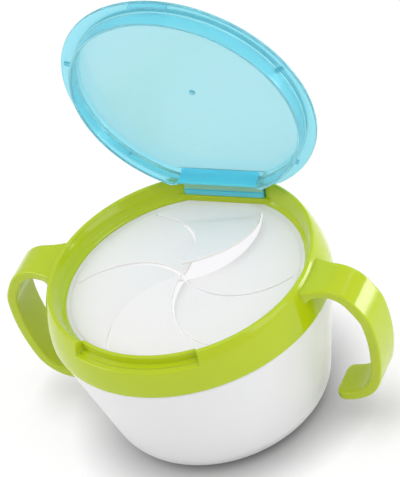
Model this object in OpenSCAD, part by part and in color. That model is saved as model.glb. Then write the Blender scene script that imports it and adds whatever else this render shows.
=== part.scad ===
// Two-handled snack container: drafted bowl, twist-on collar with a swirl of
// six soft flaps, and a hinged lid that stands open. Millimetres, +Z up, the
// origin at the centre of the bowl's flat base, the thumb notch towards -Y.

/* [Bowl] */
// Height of the bowl body up to its shoulder
bowl_h = 55.7; // [45:0.1:80]
// Outer radius of the bowl body at its shoulder
bowl_r = 56.6; // [50:0.1:64]
// Slope of the bowl's side from the vertical, in degrees
bowl_draft = 14.2; // [4:0.1:18]
// Radius of the round corner between side and base
bowl_corner_r = 20; // [12:0.5:24]
// Wall thickness of the bowl
bowl_wall = 1.8; // [1.2:0.1:2.6]
// Width of the flat ring that the bowl stands on
foot_ring = 6.9; // [4:0.1:12]
// Depth of the recess inside that ring
foot_depth = 0.5; // [0.2:0.1:0.9]
// Width of the shoulder outside the neck
shoulder_w = 4.6; // [4:0.1:5.2]
// Wall thickness of the neck
neck_wall = 1.7; // [1.2:0.1:2.4]

/* [Twist lock] */
// How far each lug stands out of the neck
lug_out = 1.3; // [1:0.1:1.4]
// Height of a lug, and of the collar's rib below it
lug_h = 1.4; // [1:0.1:1.7]
// Height of the collar's ribs above its lower edge
rib_z = 1.6; // [0.8:0.1:2.4]
// Angle that each lug and rib covers, in degrees
lug_angle = 24; // [12:1:40]
// How many lugs there are
lug_count = 3; // [2:1:4]
// Clearance between collar and bowl, all round
turn_gap = 0.3; // [0.2:0.05:0.5]
// Extra clearance in front of the tips of the lugs and ribs
lug_gap = 0.1; // [0.05:0.05:0.3]

/* [Collar] */
// How far the collar's lower edge stands out past the bowl
skirt_out = 0.4; // [0:0.1:1.5]
// Height of the collar
collar_h = 16.6; // [15:0.1:20]
// How far the rim on top lies inside the lower edge
rim_inset = 3.6; // [3:0.1:4]
// Width of the rim's flat top
rim_t = 1.7; // [1.2:0.1:2.2]
// Rounding of the rim's two edges
rim_round = 0.5; // [0.2:0.05:0.7]
// Height of the sloping inner wall, from the band up to the rim
wall_h = 6.1; // [5:0.1:7]
// How far that wall leans in towards the band
wall_lean = 2.2; // [1.5:0.1:3]
// How hollow that wall is
wall_bow = 0.5; // [0:0.05:0.8]
// Height of the band above the lip's underside
band_h = 2.2; // [1.6:0.1:3]
// How far the lip stands in from the band
lip_w = 1.6; // [1:0.1:2.4]
// Thickness of the lip at its inner edge
lip_t = 0.6; // [0.4:0.1:1]

/* [Thumb notch] */
// Half of the angle that the notch takes out of the rim, in degrees
notch_angle = 28.5; // [18:0.5:34]
// Depth of the notch below the rim
notch_depth = 5.4; // [4:0.1:5.8]
// Height of the step along the floor's inner half
notch_step = 0.6; // [0.3:0.1:1]
// Width of the floor outside that step
notch_ledge = 0.4; // [0.2:0.1:1]
// How far the latch wall behind the notch stands in from the band
latch_in = 0.1; // [0:0.05:0.4]
// Thickness of the latch wall
latch_t = 1.5; // [1.1:0.1:1.7]
// How far the latch wall ends below the rim
latch_drop = 1.3; // [0.8:0.1:1.6]

/* [Handles] */
// How far a handle stands out from the collar's lower edge
handle_reach = 22; // [17:0.1:30]
// How far a handle's top lies below the rim
handle_drop = 2; // [1.4:0.1:4]
// Width of the strap
handle_w = 16.4; // [12:0.1:20]
// Extra width on each side where the strap meets the collar
handle_flare = 2.2; // [0.5:0.1:4]
// Length over which the strap widens
handle_flare_l = 11; // [6:0.5:14]
// Thickness of the strap
handle_t = 3.7; // [2.8:0.1:4.4]
// Extra thickness of the strap's lower end
handle_tail_t = 1; // [0:0.1:1.6]
// Radius of the bend at the top
handle_bend_r = 17; // [10:0.5:18]
// Length of the straight part down the side
handle_leg = 24; // [14:0.5:30]
// How far the side leans in towards its lower end
handle_lean = 1.1; // [0:0.1:2]
// Radius of the bend at the bottom
handle_hook_r = 17; // [14:0.5:21]
// How far the tip runs on past the bottom bend
handle_tip = 1.6; // [0.5:0.1:4]

/* [Lid] */
// How far the lid's edge stays inside the rim's outer edge
lid_in = 1; // [0.4:0.1:1.2]
// Thickness of the lid's flange
lid_t = 1.5; // [1.2:0.1:2.2]
// Thickness of the raised panel and of the plug ring
panel_t = 1.4; // [1:0.1:1.6]
// How far the raised panel's underside lies above the flange's
panel_rise = 2.5; // [1.6:0.1:3]
// Gap between the plug ring and the collar's band, all round
plug_gap = 2; // [1.7:0.1:4]
// How far the panel and the plug ring are shifted towards the hinge
plug_shift = 0.7; // [0:0.1:1]
// How far the plug ring reaches below the flange
plug_depth = 5.8; // [4.4:0.1:6]
// Clearance between the closed lid and the rim
lid_gap = 0.3; // [0.2:0.05:0.5]
// How far the lid stands open, in degrees
lid_open = 84.5; // [0:0.5:104]
// How far down the latch hook under the lid's front reaches
hook_h = 2.3; // [1.8:0.1:3]
// Half of the angle that the hook covers, in degrees
hook_angle = 9; // [5:0.5:16]
// Thickness of the hook
hook_t = 0.9; // [0.7:0.1:1]
// Clearance between the hook and the latch wall
hook_gap = 0.4; // [0.3:0.05:0.6]
// Height of the four ribs under the flange
rib_h = 1.2; // [0.6:0.1:1.8]
// Thickness of those ribs
rib_t = 1.2; // [0.8:0.1:2]
// How far the two ribs at the front stand out from the plug ring
rib_l = 3.2; // [2:0.1:3.4]
// How far the two ribs at the back stand out from the plug ring
rib_l_back = 2.2; // [1:0.1:3]

/* [Hinge] */
// How far the hinge line lies inside the rim, at the ends of the hinge
hinge_inset = 3.45; // [3:0.05:4]
// Width of the hinge
hinge_w = 34.4; // [26:0.2:36]
// Radius of the bead on the lid's hinge edge
bead_r = 0.8; // [0.6:0.05:1]
// Running clearance round the bead
bead_gap = 0.06; // [0.03:0.01:0.1]
// Thickness of the neck between bead and lid
web_t = 0.8; // [0.6:0.05:1]
// Depth of the straight wall of the plug ring beside the hinge
block_d = 2.4; // [2:0.1:4]
// Height of that wall below the flange
block_h = 3.8; // [2:0.1:4]
// Clearance between that wall and the flat wall under the hinge
block_gap = 0.5; // [0.4:0.05:0.8]
// Height of the clip bar that the collar holds
bar_h = 2.4; // [1.8:0.1:2.8]
// Depth of the clip bar
bar_d = 3.7; // [3:0.1:3.8]
// Thickness of the upright edge on the clip bar
edge_t = 1.8; // [1.7:0.05:2.4]
// How far the flat wall under the hinge stands in front of the hinge line
chord_gap = 2; // [1.6:0.1:2.6]
// Depth of the hinge pocket below the rim
pocket_h = 5.6; // [4.2:0.1:6]
// Clearance at each end of the hinge
end_gap = 0.3; // [0.2:0.05:0.5]

/* [Soft insert] */
// Thickness of the soft insert
insert_t = 0.9; // [0.7:0.05:1.1]
// Clearance between the soft insert and the collar, all round
insert_gap = 2.1; // [0.5:0.1:2.6]
// Width of the soft ring between the lip and the slits' ends
slit_margin = 3.9; // [2:0.1:8]
// How far each slit's centre lies beside its chord
slit_bow = 20; // [14:0.5:30]
// Width of a slit
slit_w = 0.5; // [0.4:0.05:0.9]
// How far inside the slits' ends a flap starts to bend
bend_inset = 6; // [5:0.1:10]
// Radius of the small hole where the slits meet
eye_r = 0.7; // [0.5:0.1:1.5]
// Clearance round a flap's bending edge
bend_gap = 0.08; // [0.05:0.01:0.15]
// Direction of the back flap, in degrees from +X
swirl_turn = 97; // [90:1:104]
// How far the back flap stands up at rest, in degrees
back_angle = 12.5; // [0:0.5:13]
// How far the back left flap stands up at rest, in degrees
back_left_angle = 3; // [0:0.5:6]
// How far the front flap stands up at rest, in degrees
front_angle = 5; // [0:0.5:7]

/* [Hidden] */
$fn = 120;
eps = 0.01;
lime = "#b4d045";
sky = "#8fdcee";
milk = "#eceef0";

// Heights above the collar's lower edge
band_z = collar_h - wall_h;
seat_z = band_z - band_h;
handle_top = collar_h - handle_drop;

// Heights above the base
collar_z = bowl_h + turn_gap;
seat = collar_z + seat_z;
rim_z = collar_z + collar_h;
neck_top = seat - insert_t - turn_gap;
flange_z = rim_z + lid_gap;
hinge_z = flange_z - lid_gap / 3;
flap_z = seat - insert_t / 2;
floor_z = rim_z - notch_depth;
latch_z = rim_z - latch_drop;
pocket = rim_z - pocket_h;

// Radii of the bowl and the twist lock
neck_r = bowl_r - shoulder_w;
neck_in_r = neck_r - neck_wall;
rib_in_r = neck_r + turn_gap + lug_gap;
bore_r = rib_in_r + lug_out;

// Radii of the collar, from outside to inside
skirt_r = bowl_r + skirt_out;
rim_r = skirt_r - rim_inset;
rim_in_r = rim_r - rim_t;
band_r = rim_in_r - wall_lean;
lip_r = band_r - lip_w;
latch_r = band_r - latch_in;
latch_out = latch_r + latch_t;
notch_step_r = rim_r - notch_ledge;
handle_x = skirt_r + handle_reach;
root_r = lip_r - band_h;

// Radii of the lid and the soft insert
lid_r = rim_r - lid_in;
plug_r = band_r - plug_gap;
insert_r = bore_r - insert_gap;
slit_end_r = lip_r - slit_margin;
bend_r = slit_end_r - bend_inset;

// The hinge line crosses the rim a little inside it; its pocket leaves the
// same wall behind it as the rim has
hinge_end_y = sqrt(pow(rim_r, 2) - pow(hinge_w / 2 + end_gap, 2));
hinge_y = hinge_end_y - hinge_inset;
chord_y = hinge_y - chord_gap;
pocket_back = hinge_end_y - rim_t * 0.8;

// A length that reaches past everything
far = 4 * skirt_r;

// The collar's side is one arc that leaves its lower edge upright
side_in = skirt_r - rim_r;
side_r = (collar_h * collar_h + side_in * side_in) / (2 * side_in);
function side_x(z) = skirt_r - side_r + sqrt(side_r * side_r - z * z);
function side_line() = concat(
    [for (i = [0:14]) [side_x(collar_h * i / 15), collar_h * i / 15]],
    [[rim_r + 0.24 * rim_round, collar_h - 1.1 * rim_round]]);
function arc(c, r, a0, a1, n) =
    [for (i = [0:n]) c + r * [cos(a0 + (a1 - a0) * i / n), sin(a0 + (a1 - a0) * i / n)]];

// Bowl -----------------------------------------------------------------

// Half section of a drafted pot with a round corner, inset by a wall
module pot_half(inset, top) {
    wall_x = function (z) bowl_r - (bowl_h - z) * tan(bowl_draft) - inset / cos(bowl_draft);
    cx = wall_x(bowl_corner_r) - (bowl_corner_r - inset) / cos(bowl_draft);
    r = bowl_corner_r - inset;
    polygon([[0, inset], [cx, inset],
        [cx + r * cos(bowl_draft), bowl_corner_r - r * sin(bowl_draft)],
        [wall_x(top), top], [0, top]]);
    intersection() {
        translate([cx, bowl_corner_r]) circle(r = r);
        square([bowl_r, bowl_corner_r]);
    }
}

module lugs(r_in, r_out, z, h) {
    for (i = [0:lug_count - 1])
        rotate([0, 0, i * 360 / lug_count + 90 - lug_angle / 2])
            translate([0, 0, z])
                rotate_extrude(angle = lug_angle)
                    translate([r_in, 0]) square([r_out - r_in, h]);
}

module bowl() {
    // radius where the flat base ends, less the ring that it stands on
    foot_r = bowl_r - (bowl_h - bowl_corner_r) * tan(bowl_draft)
        - bowl_corner_r / cos(bowl_draft) - foot_ring;
    color(milk) {
        difference() {
            union() {
                rotate_extrude() pot_half(0, bowl_h);
                translate([0, 0, bowl_h - bowl_wall])
                    cylinder(r = neck_r, h = neck_top - bowl_h + bowl_wall);
            }
            rotate_extrude() difference() {
                pot_half(bowl_wall, bowl_h + eps);
                // the shoulder keeps its own wall under the collar
                translate([neck_in_r, bowl_h - bowl_wall]) square([bowl_r, 2 * bowl_wall]);
            }
            translate([0, 0, bowl_h - bowl_wall - eps]) cylinder(r = neck_in_r, h = far);
            translate([0, 0, -foot_depth]) cylinder(r = foot_r, h = 2 * foot_depth);
        }
        lugs(neck_r - neck_wall / 2, neck_r + lug_out,
            collar_z + rib_z + lug_h + turn_gap, lug_h);
    }
}

// Collar ---------------------------------------------------------------

module collar_half() {
    c = rim_round;
    polygon(concat(
        [[bore_r, 0]], side_line(),
        [[rim_r - 0.3 * c, collar_h - 0.2 * c], [rim_r - c, collar_h],
         [rim_in_r + 0.9 * c, collar_h], [rim_in_r + 0.2 * c, collar_h - 0.3 * c],
         [rim_in_r - 0.12 * c, collar_h - c],
         [(rim_in_r + band_r) / 2 - 0.6 * wall_bow,
          (collar_h + band_z) / 2 - 0.8 * wall_bow],
         [band_r, band_z], [lip_r, seat_z + lip_t], [lip_r, seat_z], [bore_r, seat_z]]));
}

// A ring sector that is centred on the front, towards -Y
module front_sector(half, r_in, r_out, z0, z1) {
    rotate([0, 0, -90 - half])
        translate([0, 0, z0])
            rotate_extrude(angle = 2 * half)
                translate([r_in, 0]) square([r_out - r_in, z1 - z0]);
}

module collar() {
    cut_r = skirt_r + rim_t;
    cut_z = rim_z + lid_gap;
    color(lime) {
        difference() {
            union() {
                translate([0, 0, collar_z]) rotate_extrude() collar_half();
                // flat wall under the hinge
                intersection() {
                    translate([0, 0, seat])
                        cylinder(r = band_r + wall_lean / 4, h = pocket - seat);
                    translate([-far / 2, chord_y, seat]) cube([far, far, pocket - seat]);
                }
            }
            // thumb notch, with a low step along its floor
            front_sector(notch_angle, notch_step_r, cut_r, floor_z, cut_z);
            front_sector(notch_angle, latch_out, cut_r, floor_z + notch_step, cut_z);
            front_sector(notch_angle, lip_r, cut_r, latch_z, cut_z);
            // hinge pocket
            translate([-hinge_w / 2 - end_gap, root_r - rim_r + chord_y, pocket])
                cube([hinge_w + 2 * end_gap, pocket_back - chord_y + rim_r - root_r,
                    2 * pocket_h]);
        }
        front_sector(notch_angle, latch_r, latch_out, collar_z + band_z - lip_t, latch_z);
        lugs(rib_in_r, bore_r + lug_out / 2, collar_z + rib_z, lug_h);
    }
}

// Handles --------------------------------------------------------------

// Side outline of a strap in x and z, inset from its outer face
function strap_edge(inset, tail) =
    let (
        bend = [handle_x - handle_bend_r, handle_top - handle_bend_r],
        leg_end = [handle_x - handle_lean, bend[1] - handle_leg],
        lean = atan2(handle_lean, handle_leg),
        hook = leg_end - handle_hook_r * [cos(lean), sin(lean) * -1],
        r_hook = handle_hook_r - inset - tail)
    concat(
        [[root_r, handle_top - inset]],
        arc(bend, handle_bend_r - inset, 90, 0, 10),
        arc(hook, r_hook, -lean * 2, -90, 12),
        [[hook[0] - handle_tip, hook[1] - r_hook]]);

function flip(v) = [for (i = [len(v) - 1:-1:0]) v[i]];

module strap_side() {
    outer = strap_edge(0, 0);
    inner = strap_edge(handle_t, handle_tail_t);
    tip = (outer[len(outer) - 1] + inner[len(inner) - 1]) / 2;
    polygon(concat(outer, arc(tip, (handle_t + handle_tail_t) / 2, -100, -260, 8),
        flip(inner)));
}

// Plan of a strap, which widens by flare where it meets the collar
module strap_plan(flare) {
    root = rim_r + handle_drop / 2;
    half = [for (i = [0:8])
        [root + handle_flare_l * i / 8, handle_w / 2 + flare * pow(1 - i / 8, 2)]];
    polygon(concat([[root_r, handle_w / 2 + flare]], half,
        [[handle_x + handle_t, handle_w / 2], [handle_x + handle_t, -handle_w / 2]],
        flip([for (p = half) [p[0], -p[1]]]),
        [[root_r, -handle_w / 2 - flare]]));
}

module handle() {
    color(lime)
        difference() {
            intersection() {
                translate([0, far / 2, collar_z]) rotate([90, 0, 0])
                    linear_extrude(far) strap_side();
                union() {
                    translate([0, 0, collar_z]) linear_extrude(far) strap_plan(handle_flare);
                    translate([0, 0, collar_z - far]) linear_extrude(far + eps) strap_plan(0);
                }
            }
            // the root ends on the collar's side
            translate([0, 0, collar_z]) rotate_extrude()
                polygon(concat([[0, 0]], side_line(), [[0, collar_h]]));
        }
}

module handle_left() mirror([1, 0, 0]) handle();
module handle_right() handle();

// Hinge ----------------------------------------------------------------

module hinge_clip() {
    color(sky)
        difference() {
            union() {
                translate([-hinge_w / 2, pocket_back - bar_d, pocket])
                    cube([hinge_w, bar_d, bar_h]);
                translate([-hinge_w / 2, hinge_y - edge_t / 2, pocket])
                    cube([hinge_w, edge_t, hinge_z - web_t / 2 - lid_gap / 3 - pocket]);
            }
            translate([-hinge_w, hinge_y, hinge_z]) rotate([0, 90, 0])
                cylinder(r = bead_r + bead_gap, h = 2 * hinge_w);
        }
}

// Lid ------------------------------------------------------------------

// A round of the lid's raised middle, cut straight beside the hinge
module lid_middle(r, y, z0, z1) {
    difference() {
        translate([0, plug_shift, z0]) cylinder(r = r, h = z1 - z0);
        translate([-far / 2, y, z0 - eps]) cube([far, far, z1 - z0 + 2 * eps]);
    }
}

// The lid as it lies when closed
module lid_closed() {
    w = hinge_w - 2 * end_gap;
    panel_z = flange_z + panel_rise;
    free_z = flange_z - plug_depth;
    block_y = chord_y - block_d;
    hook_r = latch_out + hook_gap;
    difference() {
        union() {
            difference() {
                translate([0, 0, flange_z]) cylinder(r = lid_r, h = lid_t);
                // straight back edge on the hinge line
                translate([-far / 2, hinge_y - web_t / 2, free_z]) cube([far, far, far]);
            }
            lid_middle(plug_r, chord_y, flange_z, panel_z + panel_t);
            lid_middle(plug_r, chord_y - block_gap, free_z, flange_z + eps);
        }
        lid_middle(plug_r - panel_t, block_y, free_z - eps, panel_z);
        // the straight wall beside the hinge is lower than the ring
        translate([-w / 2, block_y - panel_t, free_z - eps])
            cube([w, far, plug_depth - block_h + eps]);
    }
    translate([-w / 2, block_y + web_t, hinge_z - web_t / 2])
        cube([w, hinge_y - block_y - web_t, web_t]);
    translate([-w / 2, hinge_y, hinge_z]) rotate([0, 90, 0]) cylinder(r = bead_r, h = w);
    front_sector(hook_angle, hook_r, hook_r + hook_t, flange_z - hook_h, flange_z + lid_t / 2);
    for (a = [-23, -159, 41, 138])
        rotate([0, 0, a]) translate([plug_r - panel_t / 2, -rib_t / 2, flange_z - rib_h])
            cube([(a > 0 ? rib_l_back : rib_l) + panel_t / 2, rib_t, rib_h + lid_t / 2]);
}

module lid() {
    color(sky)
        translate([0, hinge_y, hinge_z]) rotate([-lid_open, 0, 0])
            translate([0, -hinge_y, -hinge_z]) lid_closed();
}

// Soft insert ----------------------------------------------------------

// Each slit is an arc of this radius from the middle to slit_end_r
slit_rho = sqrt(pow(slit_end_r / 2, 2) + pow(slit_bow, 2));
function slit_lean(r) = acos(r / (2 * slit_rho));
slit_c = 30 + slit_lean(slit_end_r);
// A flap bends on the line from p_a, at one slit's end, to p_b on the next slit
p_a = slit_end_r * [cos(-30), sin(-30)];
p_b = bend_r * [cos(slit_c - slit_lean(bend_r)), sin(slit_c - slit_lean(bend_r))];
bend_dir = atan2(p_b[1] - p_a[1], p_b[0] - p_a[0]);

// Plan of one flap; grow widens it by half a slit, back moves its bending edge
module flap_plan(grow, back) {
    intersection() {
        difference() {
            rotate(slit_c - 60) translate([slit_rho, 0]) circle(r = slit_rho + grow);
            rotate(slit_c) translate([slit_rho, 0]) circle(r = slit_rho - grow);
        }
        translate(p_a) rotate(bend_dir) translate([-far / 2, -back]) square([far, far]);
    }
}

module flap(k, lift) {
    color(milk)
        translate([0, 0, flap_z]) rotate([0, 0, swirl_turn + 60 * k])
            translate([p_a[0], p_a[1], 0]) rotate([0, 0, bend_dir]) rotate([lift, 0, 0])
                rotate([0, 0, -bend_dir]) translate([-p_a[0], -p_a[1], 0])
                    difference() {
                        union() {
                            translate([0, 0, -insert_t / 2])
                                linear_extrude(insert_t) flap_plan(-slit_w / 2, 0);
                            intersection() {
                                translate([p_a[0], p_a[1], 0]) rotate([0, 0, bend_dir])
                                    rotate([0, 90, 0])
                                        cylinder(r = insert_t / 2, h = norm(p_b - p_a));
                                translate([0, 0, -insert_t])
                                    linear_extrude(2 * insert_t)
                                        flap_plan(-slit_w / 2, insert_t);
                            }
                        }
                        cylinder(r = eye_r, h = 2 * insert_t, center = true);
                    }
}

module insert_ring() {
    color(milk)
        translate([0, 0, seat - insert_t]) linear_extrude(insert_t)
            difference() {
                circle(r = insert_r);
                circle(r = eye_r);
                for (k = [0:5]) rotate(swirl_turn + 60 * k)
                    flap_plan(slit_w / 2, insert_t / 2 + bend_gap);
            }
}

module flap_back() flap(0, back_angle);
module flap_back_left() flap(1, back_left_angle);
module flap_front_left() flap(2, 0);
module flap_front() flap(3, front_angle);
module flap_front_right() flap(4, 0);
module flap_back_right() flap(5, 0);

bowl();
collar();
handle_left();
handle_right();
hinge_clip();
lid();
insert_ring();
flap_back();
flap_back_left();
flap_front_left();
flap_front();
flap_front_right();
flap_back_right();
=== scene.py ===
# %% [markdown]
# # A toddler's snack container
#
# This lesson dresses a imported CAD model: a frosted bowl, a lime collar with two
# open handles, a soft insert cut into six swirling flaps, and a sky-blue lid on a
# flexible hinge. The CAD says where everything is. Here each piece gets its round
# edges, its soft bends and its plastic.

# %% Load the frame
import math

import bmesh
import bpy
import numpy as np
from mathutils import Matrix


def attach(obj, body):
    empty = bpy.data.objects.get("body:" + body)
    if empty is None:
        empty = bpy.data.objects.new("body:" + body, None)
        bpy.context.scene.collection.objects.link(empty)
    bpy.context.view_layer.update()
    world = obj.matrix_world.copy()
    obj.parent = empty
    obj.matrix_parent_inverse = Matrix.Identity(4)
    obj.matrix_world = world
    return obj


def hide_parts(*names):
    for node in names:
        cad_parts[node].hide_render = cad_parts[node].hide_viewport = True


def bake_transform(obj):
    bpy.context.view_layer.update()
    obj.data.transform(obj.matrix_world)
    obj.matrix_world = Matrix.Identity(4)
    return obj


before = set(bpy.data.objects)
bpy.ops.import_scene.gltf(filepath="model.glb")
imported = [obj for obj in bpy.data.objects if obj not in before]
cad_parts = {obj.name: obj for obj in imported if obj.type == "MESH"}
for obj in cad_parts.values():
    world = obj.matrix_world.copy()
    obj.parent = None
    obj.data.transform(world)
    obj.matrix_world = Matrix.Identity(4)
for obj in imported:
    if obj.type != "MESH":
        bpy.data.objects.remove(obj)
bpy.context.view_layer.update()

# %% [markdown]
# ## Sizes
#
# Every length is in millimetres and is the one that the CAD source uses, so a piece
# made here lands on its solid. Only the mesh builder turns them into metres.

# %% Sizes in millimetres
bowl_r, bowl_h, bowl_wall = 56.6, 55.7, 1.8
bowl_draft = 14.2          # degrees from the vertical
neck_r, neck_top = 52.0, 63.1
collar_z = 56.0            # the collar's lower edge above the table
rim_h, skirt_r, rim_inset, bore_r = 16.6, 57.0, 3.6, 53.7
lock_half, lock_out = 12.0, 1.3    # half the angle of a lug or rib, and its height
strap_w, strap_z = 16.4, 14.6
hinge_y, hinge_z = 47.0, 72.8
clip_half, web_half = 17.2, 17.0
flange_z, lid_r = 72.9, 52.4
plug_r, plug_in, plug_y = 47.5, 46.1, 0.7    # the ring's two faces and its centre
lid_open = 84.5            # degrees
seat_h, sheet_t = 8.3, 0.9
sheet_z = collar_z + seat_h - sheet_t / 2
slit_r = 44.0              # the slits' outer ends
print("rim height:", collar_z + rim_h, "mm; hinge line at y", hinge_y, "z", hinge_z)

# %% [markdown]
# ## From arrays to a mesh
#
# A moulded piece is a smooth skin. The plan: work out a whole grid of points at once
# with numpy, join neighbours with quads, and let bmesh weld the seams and poles. A
# grid needs no modelling tools, and its formula can be read.

# %% Grid, skin and moulding
def smooth(t):
    """0 below 0, 1 above 1, and 3t^2 - 2t^3 between."""
    t = np.clip(t, 0, 1)
    return t * t * (3 - 2 * t)


def skin(grid, wrap=(True, True), caps=False):
    """Points and faces of a grid. Point (i, j) is joined to (i+1, j) and (i, j+1); wrap
    closes the rows or the columns on themselves, caps puts a flat face on each end row."""
    rows, cols = grid.shape[:2]
    i, j = np.meshgrid(np.arange(rows if wrap[0] else rows - 1),
                       np.arange(cols if wrap[1] else cols - 1), indexing="ij")
    i2, j2 = (i + 1) % rows, (j + 1) % cols
    quads = np.stack([i * cols + j, i * cols + j2, i2 * cols + j2, i2 * cols + j], -1)
    faces = quads.reshape(-1, 4).tolist()
    if caps:
        faces += [list(range(cols)), list(range((rows - 1) * cols, rows * cols))]
    return grid.reshape(-1, 3), faces


def moulding(name, skins, finish, crease=38):
    """One object from one or more closed skins: welds points closer than a micron, turns
    every face outward and shades it smooth except over edges sharper than crease."""
    points, faces, first = [], [], 0
    for p, f in skins:
        points.append(p)
        faces += [[v + first for v in face] for face in f]
        first += len(p)
    mesh = bpy.data.meshes.new(name)
    mesh.from_pydata((np.concatenate(points) * 0.001).tolist(), [], faces)
    bm = bmesh.new()
    bm.from_mesh(mesh)
    bmesh.ops.remove_doubles(bm, verts=bm.verts, dist=1e-6)
    bmesh.ops.dissolve_degenerate(bm, edges=bm.edges, dist=1e-7)
    bmesh.ops.recalc_face_normals(bm, faces=bm.faces)
    bm.to_mesh(mesh)
    bm.free()
    mesh.shade_smooth()
    mesh.set_sharp_from_angle(angle=math.radians(crease))
    mesh.materials.append(finish)
    piece = bpy.data.objects.new(name, mesh)
    bpy.context.scene.collection.objects.link(piece)
    print(f"{name}: {len(mesh.polygons)} faces")
    return piece


def rounded(corners, radii, steps=6):
    """A closed outline with round corners: an arc of the given radius touches both sides
    of each corner, r / tan(half the corner's angle) away from it. A point is added just
    outside each end of the arc, so that flat stretches stay flat when shaded smooth."""
    c = np.array(corners, float)
    before, after = np.roll(c, 1, 0) - c, np.roll(c, -1, 0) - c
    lb, la = np.linalg.norm(before, axis=1), np.linalg.norm(after, axis=1)
    before, after = before / lb[:, None], after / la[:, None]
    half = np.arccos(np.clip((before * after).sum(1), -1, 1)) / 2
    r = np.maximum(np.array(radii, float), 0.02)
    reach = np.minimum(r / np.tan(half), 0.48 * np.minimum(lb, la))
    r = reach * np.tan(half)
    middle = before + after
    middle /= np.linalg.norm(middle, axis=1)[:, None]
    centre = c + middle * (r / np.sin(half))[:, None]
    a, b = c + before * reach[:, None] - centre, c + after * reach[:, None] - centre
    sweep = (math.pi - 2 * half)[:, None]
    t = np.linspace(0, 1, steps)[None, :]
    arc = (centre[:, None] + (np.sin((1 - t) * sweep) / np.sin(sweep))[..., None] * a[:, None]
           + (np.sin(t * sweep) / np.sin(sweep))[..., None] * b[:, None])
    extra = np.minimum(0.35, 0.25 * (np.minimum(lb, la) - 2 * reach)).clip(0.001)[:, None]
    first, last = arc[:, 0] + before * extra, arc[:, -1] + after * extra
    return np.concatenate([first[:, None], arc, last[:, None]], 1).reshape(-1, 2)


def turned(outline, columns=240, start=0.0, span=360.0):
    """An outline of (radius, height) carried round the axis: x = r cos a, y = r sin a."""
    a = np.radians(start + np.linspace(0, span, columns, endpoint=span < 360))[:, None]
    r, z = np.array(outline).T
    return np.stack([r * np.cos(a), r * np.sin(a), np.broadcast_to(z, (len(a), len(z)))], -1)


# %% [markdown]
# ## Plastics
#
# Colours are written as the hex values that a paint chart would give, and one function
# turns them into the linear numbers that light is worked out in.

# %% Colour and nodes
def colour(code, alpha=1.0):
    """sRGB hex to linear: c / 12.92 when dark, ((c + 0.055) / 1.055) ^ 2.4 otherwise."""
    c = np.array([int(code[i:i + 2], 16) for i in (1, 3, 5)]) / 255
    linear = np.where(c <= 0.04045, c / 12.92, ((c + 0.055) / 1.055) ** 2.4)
    return (*linear.tolist(), alpha)


def add(tree, kind, settings=(), links=()):
    """A node of that kind. settings sets its properties or, in capitals and words as
    shown on the node, its sockets; links joins (output socket -> its input name)."""
    node = tree.nodes.new(kind)
    for name, value in dict(settings).items():
        if name in node.inputs and not hasattr(node, name):
            node.inputs[name].default_value = value
        else:
            setattr(node, name, value)
    for name, source in dict(links).items():
        tree.links.new(source, node.inputs[name])
    return node


def new_material(name):
    """A material without nodes, and its empty node tree."""
    material = bpy.data.materials.new(name)
    material.use_nodes = True
    material.node_tree.nodes.clear()
    return material, material.node_tree


def plastic(name, base, roughness, grain_mm, depth_mm, streak, **sockets):
    """Moulded plastic: a base colour with faint flow streaks, a fine eroded grain from the
    mould as a bump, and patches that are a little more or less polished."""
    material, tree = new_material(name)
    place = add(tree, "ShaderNodeTexCoord").outputs["Object"]
    grain = add(tree, "ShaderNodeTexNoise", {"Scale": 1000 / grain_mm, "Detail": 3.0}, {"Vector": place})
    flow = add(tree, "ShaderNodeTexNoise", {"Scale": 1000 / 30, "Detail": 2.0}, {"Vector": place})
    tint = add(tree, "ShaderNodeMapRange", {"To Min": 1 - streak, "To Max": 1 + streak},
               {"Value": flow.outputs["Fac"]})
    mixed = add(tree, "ShaderNodeVectorMath", {"operation": "SCALE"}, {"Scale": tint.outputs[0]})
    mixed.inputs[0].default_value = colour(base)[:3]
    rough = add(tree, "ShaderNodeMapRange", {"To Min": roughness * 0.85, "To Max": roughness * 1.15},
                {"Value": flow.outputs["Fac"]})
    bump = add(tree, "ShaderNodeBump", {"Strength": 1.0, "Distance": depth_mm / 1000},
               {"Height": grain.outputs["Fac"]})
    shader = add(tree, "ShaderNodeBsdfPrincipled", sockets,
                 {"Base Color": mixed.outputs[0], "Roughness": rough.outputs[0], "Normal": bump.outputs[0]})
    add(tree, "ShaderNodeOutputMaterial", {}, {"Surface": shader.outputs[0]})
    return material


# %% [markdown]
# The collar and handles are polypropylene (IOR 1.49), dyed lime and moulded in a satin
# tool. The bowl is the same plastic undyed: milky, so that light soaks in and comes out
# again. The lid is the clear grade with a sky-blue tint. The insert is a soft
# thermoplastic elastomer with a dry, matte skin.

# %% Finishes
lime = plastic("lime_polypropylene_satin", "#B1C410", 0.13, 0.7, 0.004, 0.03,
               **{"IOR": 1.49, "Subsurface Weight": 0.12, "Subsurface Scale": 0.002,
                  "Subsurface Radius": (1.0, 1.0, 0.3)})
milk = plastic("natural_polypropylene_frosted", "#E2E2E3", 0.42, 0.9, 0.006, 0.015,
               **{"IOR": 1.49, "Subsurface Weight": 1.0, "Subsurface Scale": 0.0015,
                  "Subsurface Radius": (1.0, 1.0, 1.0)})
# Painted light: the inside finish glows, in place of light soaking in through the wall.
milk_inside_glow = plastic("natural_polypropylene_frosted_inside_painted_glow", "#D0D0D2", 0.40, 0.9, 0.006, 0.015,
                      **{"IOR": 1.49, "Emission Color": colour("#FFFFFF"), "Emission Strength": 0.42})
sky_panel = plastic("sky_polypropylene_clear_panel", "#BDF2FB", 0.22, 1.2, 0.001, 0.02,
                    **{"IOR": 1.49, "Transmission Weight": 0.8})
sky = plastic("sky_polypropylene_clear", "#A6F1FF", 0.2, 1.2, 0.001, 0.02,
              **{"IOR": 1.49, "Transmission Weight": 0.8})
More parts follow.
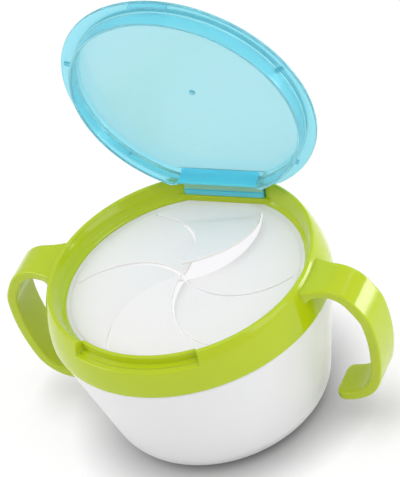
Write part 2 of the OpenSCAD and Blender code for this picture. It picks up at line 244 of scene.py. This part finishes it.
sky_solid = plastic("sky_polypropylene_thick", "#62D8F4", 0.2, 1.2, 0.001, 0.02,
                    **{"IOR": 1.49, "Transmission Weight": 0.15, "Subsurface Weight": 0.5,
                       "Subsurface Scale": 0.003, "Subsurface Radius": (0.4, 1.0, 1.0)})
# The film's green is painted: it stands in for the lime collar seen through the thin clear web and the
# clip's top.
film_painted_green = plastic("sky_polypropylene_film_painted_green", "#B0EDC8", 0.2, 1.2, 0.001, 0.02,
               **{"IOR": 1.49, "Transmission Weight": 0.3})
soft = plastic("soft_elastomer_white", "#E8E5E5", 0.5, 0.5, 0.008, 0.015,
               **{"IOR": 1.45, "Subsurface Weight": 0.6, "Subsurface Scale": 0.0008,
                  "Subsurface Radius": (1.0, 1.0, 1.0)})
print("finishes:", lime.name, milk.name, sky.name, soft.name)

# %% [markdown]
# ## The bowl
#
# One outline does it all: out along the recessed floor, round the big corner, up the
# drafted side, in over the shoulder, up the neck, and back down inside at wall
# thickness. Three lugs of the twist lock stand out of the neck.

# %% Bowl
def bowl_outline():
    """The wall of radius 56.6 at the shoulder leans in by tan(14.2 degrees) on its way
    down; the inside repeats it at 1.8 mm of wall."""
    draft = math.radians(bowl_draft)
    wall = lambda z, inset=0.0: bowl_r - (bowl_h - z) * math.tan(draft) - inset / math.cos(draft)
    inner_r, under = neck_r - 1.7, bowl_h - bowl_wall
    corners = [(0, 0.5), (20, 0.5), (20.5, 0), (wall(0), 0), (bowl_r, bowl_h), (neck_r, bowl_h),
               (neck_r, neck_top), (inner_r, neck_top), (inner_r, under), (wall(under, bowl_wall), under),
               (wall(bowl_wall, bowl_wall), bowl_wall), (0, bowl_wall)]
    radii = [0, 0.4, 0.3, 20, 0.7, 0.5, 0.5, 0.5, 0.5, 0.7, 18.2, 0]
    return rounded(corners, radii, steps=14)


def lock_share(degrees):
    """1 where a lug or rib of the twist lock stands, every 120 degrees, 0 beside it."""
    near = np.abs((degrees - 90 + 60) % 120 - 60)
    return smooth((lock_half - near) / 1.5)


def with_lugs(grid, z0, z1):
    """Between the heights z0 and z1 the neck is pushed out by the lug's height."""
    x, y, z = grid[..., 0], grid[..., 1], grid[..., 2]
    band = (z > z0) & (z < z1) & (np.abs(np.hypot(x, y) - neck_r) < 0.05)
    push = 1 + band * lock_share(np.degrees(np.arctan2(y, x))) * lock_out / neck_r
    return np.stack([x * push, y * push, z], -1)


outline = bowl_outline()
neck = np.array([[neck_r, z] for z in (59.3, 59.38, 59.46, 60.0, 60.6, 60.68, 60.76)])
at = int(np.argmax((np.abs(outline[:, 0] - neck_r) < 0.01) & (outline[:, 1] > 60)))
outline = np.insert(outline, at, neck, 0)
bowl = moulding("bowl_shell", [skin(with_lugs(turned(outline), 59.35, 60.7), (True, False))], milk)
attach(bowl, "bowl")
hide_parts("bowl")

# %% [markdown]
# Light that falls on a real bowl of this plastic soaks through the wall, and its inside
# looks lit. A renderer's soaking light doesn't get through a closed shell like this one,
# so the inner faces get the second finish, which glows a little: painted light in place
# of the light that soaks through.

# %% Inside of the bowl
def face_centres(piece):
    """The middle of each face, in millimetres, one row a face."""
    centres = np.empty(len(piece.data.polygons) * 3)
    piece.data.polygons.foreach_get("center", centres)
    return centres.reshape(-1, 3) * 1000


def give_finishes(piece, index, *finishes):
    """Adds the finishes after the piece's own; index says which one each face takes."""
    for finish in finishes:
        piece.data.materials.append(finish)
    piece.data.polygons.foreach_set("material_index", index.astype(np.int32))


co = face_centres(bowl)
outer = outline[:int(np.argmax(outline[:, 1] > 55))]
outer = outer[outer[:, 0] > 20.6]
radius = np.hypot(co[:, 0], co[:, 1])
# These inner faces take the glowing finish, which is painted light.
inside = (radius < np.interp(co[:, 2], outer[:, 1], outer[:, 0]) - bowl_wall / 2) & (co[:, 2] > 1.0)
inside &= (co[:, 2] < 53.5) | (radius < 50.6)
give_finishes(bowl, inside, milk_inside_glow)
print("inner faces of the bowl:", int(inside.sum()))

# %% [markdown]
# ## The collar
#
# The collar is one moulding whose section changes on the way round: a plain rim, a
# notch for the thumb with a latch wall behind it at the front, and a pocket for the
# hinge at the back. Booleans would leave knife edges. Here every section has the same
# number of points, so the notch grows out of the rim by mixing two sections.

# %% Collar sections
side_arc = (rim_h ** 2 + rim_inset ** 2) / (2 * rim_inset)
side = lambda z: skirt_r - side_arc + np.sqrt(side_arc ** 2 - np.square(z))


def collar_sections():
    """Two lists of (radius, height) with the same meaning point by point: the plain rim
    and the notch. Up the outside, over the top, down the inside, back up the bore."""
    low = [(skirt_r - 0.3, 0.0), (skirt_r - 0.08, 0.08), (skirt_r, 0.3)]
    z = np.linspace(0.8, 15.6, 12)
    rim = low + list(zip(side(z), z))
    rim += [(53.53, 16.05), (53.42, 16.35), (53.25, 16.5), (52.9, 16.6), (52.85, 16.6)]
    rim += [(52.8 - 0.07 * k, 16.6) for k in range(8)]
    rim += [(52.25, 16.6), (52.15, 16.6), (51.85, 16.5), (51.72, 16.35), (51.64, 16.1)]
    levels = [15.7, 14.9, 14.0, 13.0, 12.1, 11.4, 11.0]
    wall_r = np.interp(levels, [10.5, 13.15, 16.1], [49.5, 50.3, 51.64])
    rim += list(zip(wall_r, levels))
    low_levels = [11.0, 10.92, 10.75, 10.65, 10.55, 10.5, 10.3, 9.6, 8.95, 8.8, 8.35, 8.3]
    rim += list(zip(np.interp(low_levels, [8.9, 10.5, 13.15], [47.9, 49.5, 50.3]), low_levels))
    z = np.linspace(0.8, 10.2, 12)
    notch = low + list(zip(side(z), z))
    s = float(side(11.2))
    notch += [(side(10.7), 10.7), (side(11.0) - 0.04, 10.98), (s - 0.2, 11.14), (s - 0.5, 11.2),
              (s - 0.6, 11.2)]
    notch += [(53.15, 11.2), (53.02, 11.28), (52.98, 11.66), (52.85, 11.8), (51.3, 11.8), (51.0, 11.95),
              (50.9, 12.3), (50.9, 14.6)]
    notch += [(50.88, 14.95), (50.72, 15.2), (50.4, 15.3), (49.85, 15.3), (49.5, 15.15)]
    notch_levels = 14.9 - (16.1 - np.array(levels + low_levels[:6])) * (14.9 - 10.5) / (16.1 - 10.5)
    notch += [(49.42, h) for h in notch_levels[:-1]] + [(49.42, 10.5)]
    notch += rim[-6:]
    bore = [(bore_r, 8.3), (bore_r, 8.2), (bore_r, 3.05), (bore_r, 3.0), (bore_r, 2.3), (bore_r, 1.6),
            (bore_r, 1.55), (bore_r, 0.4), (bore_r + 0.1, 0.1), (bore_r + 0.3, 0.0)]
    return np.array(rim + bore, float), np.array(notch + bore, float)


rim_section, notch_section = collar_sections()
print("points in a section:", len(rim_section), len(notch_section))

# %% [markdown]
# At the back the columns of the grid stop pointing at the centre and stand side by
# side, so that the pocket gets flat ends. The wall under the hinge is flat too: there
# the inside is simply not allowed past y = 45.

# %% Collar
def collar_grid():
    """Column angle a, section point (r, z). In front x = r cos a; at the back x = 50 cos a
    and y = sqrt(r^2 - x^2). The pocket sets y to 49.09, the flat wall caps it at 45."""
    ends = [e + np.linspace(-1, 1, 11) for e in (-118.5, -61.5)]
    ends += [e + np.linspace(-0.7, 0.7, 9) for e in (69.51, 110.49)]
    ends += [np.arange(58, 76, 0.75), np.arange(104, 122, 0.75), np.arange(-180, 180, 1.5)]
    a = np.unique(np.round(np.concatenate(ends), 3))[:, None]
    rad = np.radians(a)
    notch = smooth((28.5 - np.abs(a + 90)) / 0.55 + 0.5)[..., None]
    section = rim_section * (1 - notch) + notch_section * notch
    r, z = section[..., 0], section[..., 1]
    rib = np.zeros(r.shape[1])
    rib[[55, 56, 57]] = lock_out
    r = r - rib * lock_share(a)
    straight = smooth((36 - np.abs(50 * np.cos(rad))) / 12) * (np.sin(rad) > 0)
    x = r * np.cos(rad) * (1 - straight) + 50 * np.cos(rad) * straight
    y = np.sqrt(np.maximum(r * r - x * x, 0)) * np.where(np.sin(rad) < 0, -1, 1)
    behind = np.sin(rad) > 0
    pocket = smooth((17.5 - np.abs(x)) / 0.4 + 0.5) * behind
    in_pocket = np.zeros(r.shape[1])
    in_pocket[28:40] = 1
    y += (49.09 + (rim_section[:, 0] - 51.64).clip(0) - y) * pocket * in_pocket
    share = np.zeros(r.shape[1])
    share[20:28] = np.arange(1, 9) / 9
    top = y[:, 19:20] * (1 - share) + y[:, 28:29] * share
    y = np.where(share > 0, y * (1 - pocket) + top * pocket, y)
    flat = np.full(r.shape[1], 99.0)
    flat[40:52] = 45
    flat[40:42] = 45.3, 45.09
    y = np.minimum(y, flat)
    return np.stack([x, y, z + collar_z], -1)


collar = moulding("collar_ring", [skin(collar_grid())], lime)
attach(collar, "collar")
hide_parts("collar")

# %% [markdown]
# ## The handles
#
# Each handle is a strap: a rounded oblong carried along a path that leaves the collar
# level, bends down, runs down the side and hooks inwards. The path is worked out for
# the outer face, and the inner face lies a thickness inside it, so that the strap may
# be thicker where a hand pulls.

# %% Handles
def strap_path():
    """Outer and inner line as (x, z) above the collar's edge. The outer line is a chain of
    arcs: its heading turns by each angle over each length, and steps along the heading,
    (cos, sin), are summed from its root. The inner line lies a thickness inside it, and
    starts lower, by 2.2 (1 - x / 3.2) ^ 2, which is the fillet at the root."""
    lengths = [10.1, 14.7, 6.5, 5.0, 29.4, 15.9, 8.0]
    turns = np.radians([0, 60, 5, 20, 24.5, 54.4, 16.1])
    s = np.concatenate([np.linspace(0, lengths[0], 17)[:-1], np.linspace(lengths[0], sum(lengths), 84)])
    heading = -np.interp(s, np.cumsum([0, *lengths]), np.cumsum([0, *turns]))
    middle = (heading[1:] + heading[:-1]) / 2
    steps = np.diff(s)[:, None] * np.stack([np.cos(middle), np.sin(middle)], 1)
    outer = np.array([52.2, strap_z]) + np.concatenate([[[0, 0]], np.cumsum(steps, 0)])
    thick = np.interp(s, (10, 25, 90), (3.7, 4.4, 4.2))[:, None]
    inner = outer + thick * np.stack([np.sin(heading), -np.cos(heading)], 1)
    inner[:, 1] -= 2.2 * np.square(1 - np.clip((inner[:, 0] - 55.2) / 3.2, 0, 1)) * (inner[:, 1] > 0)
    return outer, inner


def strap(flip=1, edge=0.85, corner=4.0):
    """Width 16.4, or up to 20.8 at the collar. The oblong's corners are arcs of radius
    edge; over the half round tip its thickness falls as the cosine of the turn, and the
    width falls by 2 (r - sqrt(r^2 - (r - e)^2)), which rounds the tip's corners."""
    outer, inner = strap_path()
    turn = np.radians(np.linspace(0, 90, 8))[1:]
    middle = (outer[-1] + inner[-1]) / 2
    thick = np.linalg.norm(outer - inner, axis=1)
    normal = (outer - inner) / thick[:, None]
    centre = (outer + inner) / 2
    centre = np.concatenate([centre, middle - np.stack([np.sin(turn) * thick[-1] / 2, turn * 0], 1)])
    normal = np.concatenate([normal, np.repeat(normal[-1:], len(turn), 0)])
    thick = np.concatenate([thick, thick[-1] * np.cos(turn)])
    flare = np.square(1 - np.clip((centre[:, 0] - 54.4) / 11, 0, 1)) * (centre[:, 1] > 0)
    width = strap_w + 4.4 * flare
    to_end = np.linalg.norm(centre - centre[-1], axis=1)
    width = width - 2 * (corner - np.sqrt(corner ** 2 - np.square((corner - to_end).clip(0)) + 1e-9))
    q = np.radians(np.linspace(0, 90, 5))
    arc = np.concatenate([[[edge, -0.3]], edge * np.stack([np.cos(q), np.sin(q)], 1), [[-0.3, edge]]])
    signs, offsets = [], []
    for k, s in enumerate([(1, 1), (-1, 1), (-1, -1), (1, -1)]):
        c, n = math.cos(k * math.pi / 2), math.sin(k * math.pi / 2)
        signs.append(np.repeat([s], len(arc), 0))
        offsets.append(arc @ np.array([[c, n], [-n, c]]))
    signs, offsets = np.concatenate(signs), np.concatenate(offsets)
    small = np.minimum(1, thick / (2 * edge + 0.6))[:, None]
    across = signs[:, 0] * (width[:, None] / 2 - edge * small) + offsets[:, 0] * small
    through = signs[:, 1] * (thick[:, None] / 2 - edge * small) + offsets[:, 1] * small
    x = centre[:, :1] + normal[:, :1] * through
    z = centre[:, 1:] + normal[:, 1:] * through
    return np.stack([flip * x, across, z + collar_z], -1)


for side_name, flip in (("left", -1), ("right", 1)):
    handle = moulding(f"strap_{side_name}", [skin(strap(flip), (False, True), (True, False))], lime)
    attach(handle, "collar")
    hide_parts(f"handle_{side_name}")

# %% [markdown]
# ## Hinge clip and web
#
# The lid is moulded with a clip bar on its edge, joined by a thin web that bends for
# years without breaking. The bar sits in the collar's pocket, and the web is the one
# piece that must bend.

# %% Clip bar and web
def bar(outline, x0, x1, ease=0.25):
    """A closed outline in (y, z) carried along x, a little smaller at both ends so that
    the end edges are round."""
    middle, size = outline.mean(0), np.ptp(outline, axis=0).max()
    x = np.array([x0, x0 + 0.3 * ease, x0 + ease, x0 + 2 * ease,
                  x1 - 2 * ease, x1 - ease, x1 - 0.3 * ease, x1])
    shrink = np.array([1.0, 0.3, 0, 0, 0, 0, 0.3, 1.0]) * 2 * ease / size
    yz = middle + (outline - middle) * (1 - shrink)[:, None, None]
    return np.concatenate([np.broadcast_to(x[:, None, None], yz[..., :1].shape), yz], -1)


def bar_skin(grid):
    """The skin of a bar: closed round its outline, with a flat cap at both ends."""
    return skin(grid, (False, True), (True, True))


clip_outline = rounded([(45.4, 67), (49.08, 67), (49.08, 69.4), (47.9, 69.4), (47.45, 72), (46.6, 72),
                        (46.1, 69.5), (45.4, 69.3)],
                       [0.3, 0.3, 0.4, 0.5, 0.2, 0.2, 0.5, 0.45])
clip = moulding("clip_bar", [bar_skin(bar(clip_outline, -clip_half, clip_half))], sky_solid)
# The clip's top takes the film, with its painted green of the collar behind.
give_finishes(clip, face_centres(clip)[:, 2] > 69.6, film_painted_green)
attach(clip, "collar")
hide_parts("hinge_clip")

z = np.linspace(71.7, 75.2, 15)
half_t = 0.4 + 0.25 * smooth((np.abs(z - 73.3) - 1.0) / 0.8)
lean = -0.096 * (z - hinge_z).clip(0)
y = np.concatenate([hinge_y + lean - half_t, (hinge_y + lean + half_t)[::-1]])
web_grid = bar(np.stack([y, np.concatenate([z, z[::-1]])], 1), -web_half, web_half, 0.15)
# The web takes the film, with its painted green of the collar behind.
web = moulding("hinge_web", [bar_skin(web_grid)], film_painted_green)
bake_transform(web)

# %% [markdown]
# ## The lid
#
# It is worked out lying closed, where it is easy to measure, and then turned up about
# the hinge line. The plate is a polar grid: the section runs from the centre of the
# raised panel down to the flange, round its edge, down the plug ring and up again
# inside it. The radii of each column follow circles, or straight cuts at the hinge.

# %% Lid plate
def opened(points, degrees=lid_open):
    """Turns points from the closed place back about the hinge line, or with a negative
    angle from the open place to the closed one."""
    c, s = math.cos(math.radians(degrees)), math.sin(math.radians(degrees))
    y, z = points[..., 1] - hinge_y, points[..., 2] - hinge_z
    return np.stack([points[..., 0], hinge_y + y * c + z * s, hinge_z - y * s + z * c], -1)


def arc(c, r, a0, a1, n=5):
    """n points of a circle of radius r round c, from a0 to a1 degrees."""
    t = np.radians(np.linspace(a0, a1, n))
    return np.stack([c[0] + r * np.cos(t), c[1] + r * np.sin(t)], 1)


def lower(a, b, k=0.5):
    """The smaller of two lengths, with the kink between them rounded over about k."""
    h = np.clip(0.5 + 0.5 * (b - a) / k, 0, 1)
    return b * (1 - h) + a * h - k * h * (1 - h)


def lid_plate():
    """Seen from (0, 0.7): the ring's faces are circles of 46.1 and 47.5 and the flange's
    edge is the circle of 52.4 round the axis. Near the hinge the ring's faces stop at
    y = 42.2 and 44.6 and the flange at y = 46.6, and the panel's wall at y = 44.97. The
    ring's inner face slopes there, and its free edge rises by 1.6 where it is straight."""
    fine = np.concatenate([np.arange(59, 74, 0.2), np.arange(106, 121, 0.2)])
    a = np.radians(np.unique(np.round(np.concatenate([fine, np.arange(0, 360, 1.5)]), 3)))
    c, s = np.cos(a), np.sin(a)
    at = lambda y: np.where(s > 0.1, (y - plug_y) / np.maximum(s, 0.1), 999.0)
    rim = -plug_y * s + np.sqrt((plug_y * s) ** 2 - plug_y ** 2 + lid_r ** 2)
    inner, outer, wall = lower(plug_in, at(42.2)), lower(plug_r, at(44.6)), lower(plug_r, at(44.97))
    slope = lower(plug_in, at(43.3)) - inner
    edge = lower(rim, at(46.6), 1.0)
    free = -5.8 + 1.6 * smooth((20 - np.abs(at(43.5) * c)) / 5) * (s > 0.5)
    round_top = np.clip((edge - wall) / 2, 0, 1)
    share = np.array([0, 0.02, 0.3, 0.6, 0.9, 0.97])
    rows = []

    def run(radius, points, size=1.0):
        """Adds points (out from that radius, height); size scales a rounding by column."""
        for dr, z in points:
            rows.append((radius + np.asarray(size) * dr, np.broadcast_to(z, radius.shape)))

    for k in share:
        rows.append(((wall - 0.9) * k, np.full(c.shape, 3.9)))
    run(wall, [(-0.8, 3.9), *arc((-0.6, 3.3), 0.6, 90, 0)])
    run(wall, [(0, 2.3), *arc((0.4, 1.9), 0.4, 180, 270)], round_top)
    run(edge, [(-0.9, 1.5), *arc((-0.6, 0.9), 0.6, 90, 0), *arc((-0.6, 0.6), 0.6, 0, -90), (-0.9, 0)],
        round_top)
    run(outer, [(0.7, 0), *arc((0.4, -0.4), 0.4, 90, 180), (0, -0.8)], np.clip((edge - outer) / 1.2, 0, 1))
    for dr, z in [(0, 0.9), *arc((-0.6, 0.6), 0.6, 0, -90)]:
        rows.append((outer + dr, free + z))
    for dr, z in [*arc((0.5, 0.6), 0.5, -90, -180), (0, 0.9)]:
        rows.append((inner + slope + dr, free + z))
    run(inner + 0.5 * slope, [(0, -0.6)])
    run(inner, [(0, 1.7), *arc((-0.5, 2.0), 0.5, 0, 90), (-0.8, 2.5)])
    for k in share[::-1]:
        rows.append(((inner - 1.2) * k, np.full(c.shape, 2.5)))
    rho, z = (np.stack(part, 1) for part in zip(*rows))
    return np.stack([rho * c[:, None], plug_y + rho * s[:, None], flange_z + z], -1)


lid = moulding("lid_plate", [skin(opened(lid_plate()), (True, False))], sky)
x, y, z = opened(face_centres(lid), -lid_open).T
panel = (np.hypot(x, y - plug_y) < plug_in - 0.5) & (z > flange_z + 2) & (y < 42)
block = (np.abs(x) < web_half) & (y > 42) & (z < flange_z + 2.4)
give_finishes(lid, panel + 2 * block, sky_panel, sky_solid)
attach(lid, "lid")
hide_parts("lid")
print("faces of the panel:", int(panel.sum()))

# %% [markdown]
# The small features under the lid each have a job: the hook snaps over the latch wall,
# four ribs keep the flange off the rim, and the round mark is where the plastic
# entered the mould.

# %% Lid details
hook_outline = rounded([(51.3, 70.6), (52.2, 70.6), (52.2, 73.6), (51.3, 73.6)], [0.35, 0.3, 0.1, 0.1])


def about_axis(points, degrees):
    """Points turned about the vertical axis: x c - y s, x s + y c."""
    c, s = math.cos(math.radians(degrees)), math.sin(math.radians(degrees))
    x, y = points[..., 0], points[..., 1]
    return np.stack([x * c - y * s, x * s + y * c, points[..., 2]], -1)


def rib(angle, reach_out):
    """A bar along the radius, 1.2 wide and 1.2 high, turned to its angle."""
    outline = rounded([(-0.6, 71.7), (0.6, 71.7), (0.6, 73.5), (-0.6, 73.5)], [0.3, 0.3, 0.1, 0.1])
    return about_axis(bar(outline, plug_r - 0.6, plug_r + reach_out, 0.2), angle)


gate_outline = [(0, 75.05), (0.9, 75.05), (1.2, 75.15), (1.3, 75.4), (1.3, 75.7), (0, 75.7)]
gate = turned(gate_outline, 32) + (1.5, -1.4, 0)
rib_reach = {-23: 3.2, -159: 3.2, 41: 2.2, 138: 2.2}
details = {
    "lid_hook": [bar_skin(opened(turned(hook_outline, 28, -99, 18)))],
    "lid_ribs": [bar_skin(opened(rib(angle, reach))) for angle, reach in rib_reach.items()],
    "lid_gate_mark": [skin(opened(gate), (True, False))],
}
for name, skins in details.items():
    piece = moulding(name, skins, sky)
    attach(piece, "lid")

# %% [markdown]
# ## The soft insert
#
# One sheet of elastomer, 0.9 mm thick. Six curved slits start at a small eye and make
# six flaps. Each flap is a fan-shaped piece of the sheet that runs on into the ring
# round it, with no gap. It is worked out flat and lifted by the few degrees that it
# stands up at rest.

# %% Slits and flaps
slit_rho = math.hypot(slit_r / 2, 20)
slit_lean = lambda r: np.degrees(np.arccos(np.minimum(r, slit_r) / (2 * slit_rho)))
slit_c = 30 + float(slit_lean(slit_r))
p_a = slit_r * np.array([math.cos(math.radians(-30)), math.sin(math.radians(-30))])
p_b_angle = math.radians(slit_c - float(slit_lean(38)))
p_b = 38 * np.array([math.cos(p_b_angle), math.sin(p_b_angle)])
bend_line = (p_b - p_a) / np.linalg.norm(p_b - p_a)
inward = np.array([-bend_line[1], bend_line[0]])
bend_over = 5.0


def flap_grid(turn, lift, slit=0.6, edge=0.28):
    """Radius r runs out from the eye; at each r the flap lies between two slits whose
    angles are 60 degrees apart and swing by arccos(r / (2 * 29.7)). Near a slit the
    sheet's faces fall away on a small radius. Past the bending line the angle is lift
    times smooth(d / 5)."""
    r = np.concatenate([np.linspace(0.7, slit_r, 62), [44.4, 44.9, 45.5, 46.2]])[:, None]
    width = r * math.radians(60)
    near = np.minimum([0, 0.03, 0.09, 0.18, 0.28, 0.6], width * [0, 0.01, 0.03, 0.06, 0.09, 0.12])
    even = width * np.linspace(0.14, 0.86, 26)
    across = np.concatenate([near, even, width - near[:, ::-1]], 1)
    open_share = smooth((44.8 - r) / 1.2)
    slant = np.cos(np.arcsin(np.minimum(r, slit_r) / (2 * slit_rho)))
    gap = slit / 2 / slant * open_share
    arc_mm = gap + across * (1 - 2 * gap / width)
    from_slit = np.minimum(across, width - across) * slant
    fall = edge - np.sqrt(np.maximum(edge ** 2 - np.maximum(edge - from_slit, 0) ** 2, 0))
    half = sheet_t / 2 - fall * open_share
    angle = np.radians(slit_c - 60 - slit_lean(r)) + arc_mm / r
    x, y = r * np.cos(angle), r * np.sin(angle)
    top, low = np.stack([x, y, half], -1), np.stack([x, y, -half], -1)
    loop = np.concatenate([top, low[:, ::-1]], 1)
    first, last = loop[:1] * (1, 1, 0), loop[-1:] * (1, 1, 0)
    loop = np.concatenate([first, loop, last])
    d = (loop[..., :2] - p_a) @ inward
    along = (loop[..., :2] - p_a) @ bend_line
    t = math.radians(lift) * smooth(d / bend_over)
    d2, z2 = d * np.cos(t) - loop[..., 2] * np.sin(t), d * np.sin(t) + loop[..., 2] * np.cos(t)
    flat = p_a + along[..., None] * bend_line + d2[..., None] * inward
    return about_axis(np.concatenate([flat, z2[..., None] + sheet_z], -1), turn)


flaps = {"back": 12.5, "back_left": 3, "front_left": 0, "front": 5, "front_right": 0, "back_right": 0}
for k, (place, lift) in enumerate(flaps.items()):
    turn = 97 + 60 * k
    piece = moulding(f"soft_flap_{place}", [skin(flap_grid(turn, lift), (False, True))], soft, 60)
    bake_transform(piece)
    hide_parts(f"flap_{place}")

under, over = sheet_z - sheet_t / 2, sheet_z + sheet_t / 2
ring_outline = rounded([(46.2, under), (51.6, under), (51.6, over), (46.2, over)], [0.02, 0.4, 0.4, 0.02])
ring = moulding("soft_ring", [skin(turned(ring_outline))], soft)
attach(ring, "collar")
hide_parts("insert_ring")

# %% [markdown]
# ## Floor and sky
#
# The object stands on a sheet of white paper that goes on to the horizon, under an even
# white sky. Both look white to the camera, also through the clear lid, and give less
# light than that to the object, so that its own colours stay deep.

# %% Floor and world
world_light = 0.68         # what the sky gives to the object; the camera sees 1
floor_own = 0.6            # the share of the paper's white that isn't lit
shade_reach, shade_power = 0.022, 0.9    # metres; how fast the paper gets dark


def seen_rays(tree):
    """1 for rays that come from the camera or through a clear piece, 0 for the others."""
    rays = add(tree, "ShaderNodeLightPath")
    seen = add(tree, "ShaderNodeMath", {"operation": "MAXIMUM"})
    tree.links.new(rays.outputs["Is Camera Ray"], seen.inputs[0])
    tree.links.new(rays.outputs["Is Transmission Ray"], seen.inputs[1])
    return seen.outputs[0]


def studio_floor():
    """A square of 8 m. For the camera 0.6 of its white is its own, so that it reads as
    paper without more light on the object; the rest is lit. Paper that has something
    standing within 2 cm of it gets a painted shade: its white is scaled by openness ^ 0.9."""
    s = 4000.0
    points = np.array([(-s, -s, 0), (s, -s, 0), (s, s, 0), (-s, s, 0)]) + (0, 0, -0.02)
    mesh = bpy.data.meshes.new("studio_floor")
    mesh.from_pydata((points * 0.001).tolist(), [], [[0, 1, 2, 3]])
    paper, tree = new_material("white_paper_sweep")
    place = add(tree, "ShaderNodeTexCoord").outputs["Object"]
    grain = add(tree, "ShaderNodeTexNoise", {"Scale": 900.0}, {"Vector": place})
    bump = add(tree, "ShaderNodeBump", {"Distance": 0.00005}, {"Height": grain.outputs["Fac"]})
    # Painted shade: ambient occlusion darkens the paper's colour and its own white near the object.
    near = add(tree, "ShaderNodeAmbientOcclusion", {"samples": 24, "Distance": shade_reach})
    deep = add(tree, "ShaderNodeMath", {"operation": "POWER"})
    tree.links.new(near.outputs["AO"], deep.inputs[0])
    deep.inputs[1].default_value = shade_power
    shade = add(tree, "ShaderNodeVectorMath", {"operation": "SCALE"}, {"Scale": deep.outputs[0]})
    shade.inputs[0].default_value = colour("#FBFBFB")[:3]
    lit = add(tree, "ShaderNodeBsdfDiffuse", {}, {"Color": shade.outputs[0], "Normal": bump.outputs[0]})
    own = add(tree, "ShaderNodeEmission", {"Color": colour("#FFFFFF")}, {"Strength": deep.outputs[0]})
    share = add(tree, "ShaderNodeMath", {"operation": "MULTIPLY"})
    tree.links.new(seen_rays(tree), share.inputs[0])
    share.inputs[1].default_value = floor_own
    mix = add(tree, "ShaderNodeMixShader")
    tree.links.new(share.outputs[0], mix.inputs[0])
    tree.links.new(lit.outputs[0], mix.inputs[1])
    tree.links.new(own.outputs[0], mix.inputs[2])
    add(tree, "ShaderNodeOutputMaterial", {}, {"Surface": mix.outputs[0]})
    mesh.materials.append(paper)
    floor = bpy.data.objects.new("studio_floor", mesh)
    bpy.context.scene.collection.objects.link(floor)


studio_floor()
world = bpy.data.worlds.new("studio")
bpy.context.scene.world = world
world.use_nodes = True
tree = world.node_tree
tree.nodes.clear()
strength = add(tree, "ShaderNodeMapRange", {"To Min": world_light, "To Max": 1.0},
               {"Value": seen_rays(tree)})
sky_light = add(tree, "ShaderNodeBackground", {"Color": colour("#FFFFFF")},
                {"Strength": strength.outputs[0]})
add(tree, "ShaderNodeOutputWorld", {}, {"Surface": sky_light.outputs[0]})
print("world light:", world_light)

# %% [markdown]
# ## Lamps
#
# Wide soft lamps stand to the left, to the right, above and behind, as in a light tent.
# A small one close behind on the right gives the right handle its bright band. Sizes
# and places are in millimetres, so that they can be measured against the object.

# %% Lamps
def softbox(name, place, aim, width, height, watts):
    """A rectangular lamp at place (mm), facing aim."""
    lamp = bpy.data.lights.new(name, "AREA")
    lamp.shape, lamp.size, lamp.size_y, lamp.energy = "RECTANGLE", width / 1000, height / 1000, watts
    stand = bpy.data.objects.new(name, lamp)
    bpy.context.scene.collection.objects.link(stand)
    away = np.array(place, float) - np.array(aim, float)
    away /= np.linalg.norm(away)
    right = np.cross((0, 0, 1), away)
    right /= np.linalg.norm(right)
    up = np.cross(away, right)
    frame_4 = np.eye(4)
    frame_4[:3, 0], frame_4[:3, 1], frame_4[:3, 2] = right, up, away
    frame_4[:3, 3] = np.array(place) / 1000
    stand.matrix_world = Matrix(frame_4.tolist())


softbox("key_softbox", (-1200, -400, 1100), (0, 0, 50), 900, 900, 8)
softbox("top_softbox", (300, -100, 1500), (0, 0, 60), 900, 900, 5)
softbox("fill_softbox", (1300, -150, 600), (0, 0, 60), 900, 900, 4)
softbox("back_softbox", (400, 1300, 700), (0, 0, 60), 900, 900, 2.6)
softbox("rim_softbox", (525, 392, 64), (70, 0, 60), 260, 110, 0.65)

# %% [markdown]
# ## Camera
#
# The camera stands 1.5 m back with a long lens, looks down from the right and is tilted
# by 19 degrees. It is placed by angles round its target, which are easier to fit than
# a place in the room.

# %% Camera
def stand_camera(azimuth, elevation, roll, distance, target, lens):
    """Looks at the target from the azimuth (0 looks along +Y) and elevation, turned about
    its own axis by roll. The sensor's 36 mm span the longer side of the picture."""
    az, el, ro = (math.radians(v) for v in (azimuth, elevation, roll))
    back = np.array([math.sin(az) * math.cos(el), -math.cos(az) * math.cos(el), math.sin(el)])
    level = np.array([math.cos(az), math.sin(az), 0])
    up = np.cross(back, level)
    x = math.cos(ro) * level + math.sin(ro) * up
    y = -math.sin(ro) * level + math.cos(ro) * up
    eye = (np.array(target) + distance * back) / 1000
    data = bpy.data.cameras.new("camera")
    data.sensor_width, data.lens, data.clip_start, data.clip_end = 36.0, lens, 0.05, 50
    camera = bpy.data.objects.new("camera", data)
    bpy.context.scene.collection.objects.link(camera)
    camera.matrix_world = Matrix([[x[i], y[i], back[i], eye[i]] for i in range(3)] + [[0, 0, 0, 1]])
    bpy.context.scene.camera = camera
    print("camera at", eye.round(3).tolist(), "m")


stand_camera(33.8175, 38.5138, -19.2043, 1500, (-10.03, 34.08, 54.08), 285.65)
bpy.context.scene.view_settings.view_transform = "Standard"
